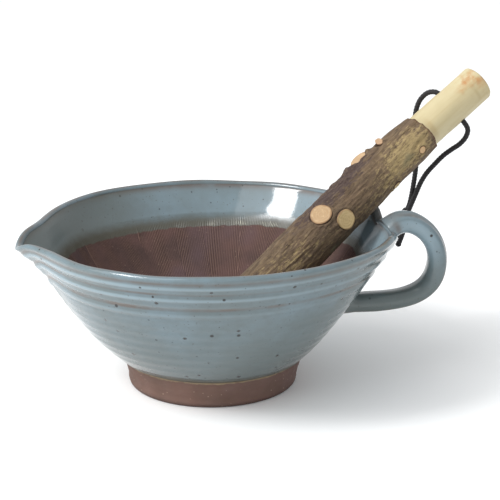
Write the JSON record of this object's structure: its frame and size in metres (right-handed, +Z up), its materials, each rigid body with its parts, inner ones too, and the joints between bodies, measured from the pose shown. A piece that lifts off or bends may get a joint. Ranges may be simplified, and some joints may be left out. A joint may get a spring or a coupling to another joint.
{
  "type": "mortar and pestle",
  "caption": "Footed stoneware grinding bowl with a ribbed inside, a pouring spout and a side handle, with a branch-wood pestle leaning in it on a hanging cord.",
  "frame": {"origin": "centre of the foot ring's underside, on the table", "axes": "+Z up, +X towards the handle, -X towards the spout, +Y away from the side that the picture shows"},
  "size_m": [0.2622, 0.2008, 0.1601],
  "materials": {
    "glaze": "glossy grey-blue glaze with dark iron specks",
    "bare_clay": "matte brown fired clay",
    "peeled_wood": "smooth peeled sapwood",
    "bark": "rough dry bark",
    "end_grain": "sawn end grain",
    "cord": "matte waxed cord"
  },
  "bodies": {
    "bowl": {"bowl_body": "glaze", "foot_ring": "bare_clay", "handle": "glaze"},
    "pestle": {"pestle_core": "peeled_wood", "bark_sleeve": "bark", "twig_stub_large_a": "end_grain", "twig_stub_large_b": "end_grain", "twig_stub_long": "end_grain", "twig_stub_round": "end_grain", "twig_stub_upper": "end_grain", "twig_stub_lower": "end_grain"},
    "cord": {"hanging_cord": "cord", "cord_knot": "cord"}
  },
  "joints": [
    {"name": "pestle_lift", "type": "slide", "parent": "bowl", "child": "pestle", "axis": [0.6897, 0.4652, 0.5548], "range_m": [0, 0.15]},
    {"name": "cord_swing", "type": "hinge", "parent": "pestle", "child": "cord", "pos_m": [0.13617, 0.05678, 0.13981], "axis": [0.6637, -0.2441, -0.707], "range_deg": [-5, 50]}
  ]
}
